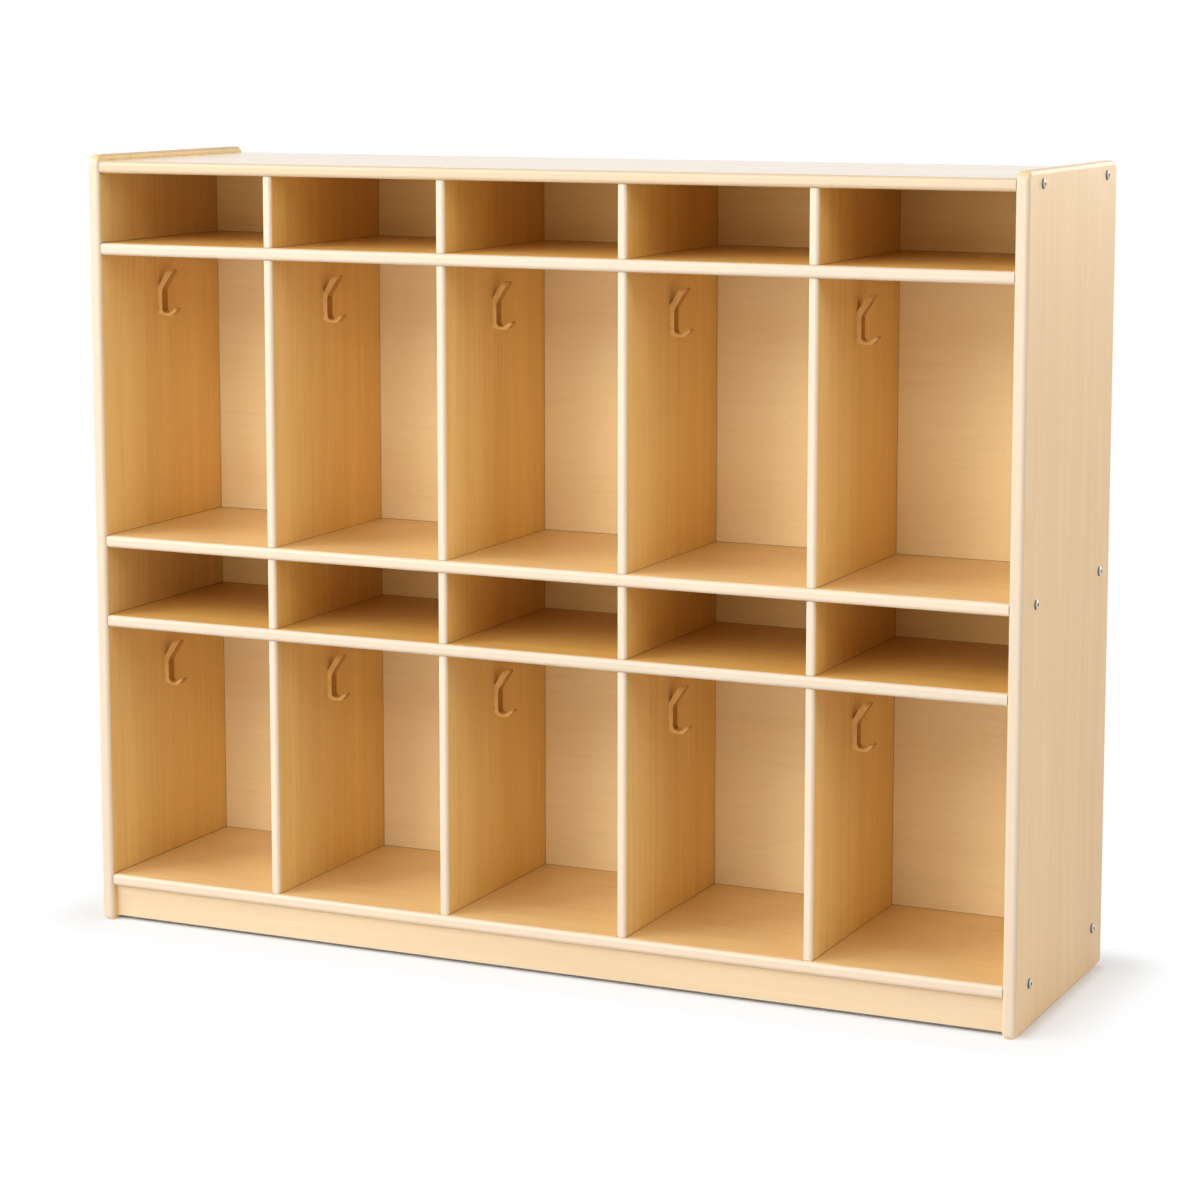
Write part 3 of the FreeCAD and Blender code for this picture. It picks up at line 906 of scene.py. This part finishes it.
@dataclass(frozen=True)
class Lamp:
    """A soft rectangular lamp on a stand, aimed at the middle of the unit."""

    name: str
    azimuth: float
    elevation: float
    distance: float
    width: float
    height: float
    power: float

    def place(self, target: Vector) -> None:
        """Sets the lamp up.

        Args:
            target: Point that it is aimed at.
        """
        turn, rise = math.radians(self.azimuth), math.radians(self.elevation)
        level = math.cos(rise)
        out = Vector((math.sin(turn) * level, -math.cos(turn) * level, math.sin(rise)))
        light = bpy.data.lights.new(self.name, "AREA")
        light.shape = "RECTANGLE"
        light.size, light.size_y = self.width, self.height
        light.energy = self.power
        lamp = bpy.data.objects.new(self.name, light)
        lamp.location = target + out * self.distance
        lamp.rotation_euler = (-out).to_track_quat("-Z", "Y").to_euler()
        bpy.context.scene.collection.objects.link(lamp)
        LOG.info("placed lamp %s", self.name)


@dataclass
class Studio:
    """White floor, white surround, soft lamps and the camera."""

    floor_half: float = 14.0
    floor_colour: Colour = (0.86, 0.86, 0.86, 1.0)
    shadow_reach: float = 0.1  # from the footprint to plain white
    shadow_lift: float = 0.4  # share of white at the footprint
    gap_reach: float = 0.014  # of the dark line under the kick board
    gap_lift: float = 0.08  # share of white at the start of that line
    ambient: float = 0.03
    lamps: tuple[Lamp, ...] = (
        Lamp("left", -54.0, 34.0, 6.6, 3.8, 3.5, 289.0),
        Lamp("front_left", -28.0, 18.0, 6.6, 3.5, 3.1, 126.0),
        Lamp("front_low", -6.0, 4.0, 4.2, 2.4, 1.0, 22.0),
        Lamp("front_high", -2.0, 32.0, 4.2, 2.4, 1.6, 47.5),
        Lamp("right", 73.0, 30.0, 4.2, 2.4, 2.2, 64.0),
        Lamp("rear", 155.0, 20.0, 4.2, 2.4, 2.2, 70.0),
    )
    eye: Triple = (1.663, -3.581, 1.124)
    yaw: float = 24.73
    pitch: float = 7.58
    level_tilt: float = 90.0  # turn about X that looks level
    lens: float = 96.94
    sensor: float = 36.0
    shift: float = -0.11

    def build(self) -> None:
        """Sets up the floor, the surround, the lamps and the camera."""
        self.lay_floor()
        self.light_surround()
        low, high = CAD_BOX
        for lamp in self.lamps:
            lamp.place((low + high) / 2)
        self.stand_camera()

    def lay_floor(self) -> None:
        """Lays the floor, which fades to plain white away from the unit."""
        mesh = bmesh.new()
        bmesh.ops.create_grid(mesh, x_segments=1, y_segments=1, size=self.floor_half)
        data = bpy.data.meshes.new("studio_floor")
        mesh.to_mesh(data)
        mesh.free()
        floor = bpy.data.objects.new("studio_floor", data)
        bpy.context.scene.collection.objects.link(floor)
        data.materials.append(self.floor_material())
        LOG.info("laid %s", floor.name)

    def floor_material(self) -> bpy.types.Material:
        """Matt pale floor that the camera and reflections see as white beyond the unit's shadow.

        Returns:
            The material.
        """
        material = bpy.data.materials.new("studio_floor")
        material.use_nodes = True
        bench = ShaderBench(material.node_tree)
        matt = bench.node("BsdfDiffuse", {"Color": self.floor_colour})
        white = bench.node("Emission", {"Color": WHITE, "Strength": 1.0})
        away = self.beyond_unit(bench)
        lift = bench.spread(away, 0.0, self.shadow_reach, self.shadow_lift, 1.0)
        open_gap = bench.spread(away, 0.0, self.gap_reach, self.gap_lift, 1.0)
        lift = bench.math("MULTIPLY", lift, open_gap)
        share = bench.math("MULTIPLY", self.seen_white(bench), lift)
        mix = bench.node("MixShader", {"Fac": share, 1: matt.outputs[0], 2: white.outputs[0]})
        bench.node("OutputMaterial", {"Surface": mix.outputs[0]})
        return material

    def beyond_unit(self, bench: ShaderBench) -> Socket:
        """How far a point of the floor lies from a footprint that ends under the kick board.

        Args:
            bench: Where to add the nodes.

        Returns:
            The distance in metres, 0 within the footprint.
        """
        position = bench.node("TexCoord").outputs["Object"]
        aside = bench.node("VectorMath", {0: position}, operation="ABSOLUTE")
        footprint = (CAD_BOX[1].x, -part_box("kick_board")[0].y - self.gap_reach, 0.0)
        feeds = {0: aside.outputs["Vector"], 1: footprint}
        beyond = bench.node("VectorMath", feeds, operation="SUBTRACT")
        beyond = bench.node("VectorMath", {0: beyond.outputs["Vector"]}, operation="MAXIMUM")
        away = bench.node("VectorMath", {0: beyond.outputs["Vector"]}, operation="LENGTH")
        return away.outputs["Value"]

    def seen_white(self, bench: ShaderBench) -> Socket:
        """Whether a ray is the camera's, a reflection or goes through glass.

        Args:
            bench: Where to add the nodes.

        Returns:
            1 for such a ray, else 0.
        """
        ray = bench.node("LightPath")
        seen = bench.math("MAXIMUM", ray.outputs["Is Camera Ray"], ray.outputs["Is Glossy Ray"])
        return bench.math("MAXIMUM", seen, ray.outputs["Is Transmission Ray"])

    def light_surround(self) -> None:
        """Makes the surround white to the eye and a dim even light on the unit."""
        world = bpy.data.worlds.new("studio_surround")
        bpy.context.scene.world = world
        world.use_nodes = True
        bench = ShaderBench(world.node_tree)
        strength = bench.spread(self.seen_white(bench), 0.0, 1.0, self.ambient, 1.0)
        glow = bench.node("Background", {"Color": WHITE, "Strength": strength})
        bench.node("OutputWorld", {"Surface": glow.outputs[0]})

    def stand_camera(self) -> None:
        """Stands the camera at the photograph's viewpoint."""
        data = bpy.data.cameras.new("camera")
        data.sensor_width, data.lens, data.shift_y = self.sensor, self.lens, self.shift
        camera = bpy.data.objects.new("camera", data)
        camera.location = self.eye
        tilt = math.radians(self.level_tilt - self.pitch)
        camera.rotation_euler = Euler((tilt, 0.0, math.radians(self.yaw)))
        bpy.context.scene.collection.objects.link(camera)
        bpy.context.scene.camera = camera
        LOG.info("stood %s", camera.name)


def main() -> None:
    """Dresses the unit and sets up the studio."""
    logging.basicConfig(level=logging.INFO, format="%(name)s: %(message)s")
    bpy.context.scene.view_settings.view_transform = "Standard"
    for assembly in (Carcass(), Dividers(), CoatHooks(), Fasteners()):
        assembly.dress()
    Studio().build()


if __name__ == "__main__":
    main()
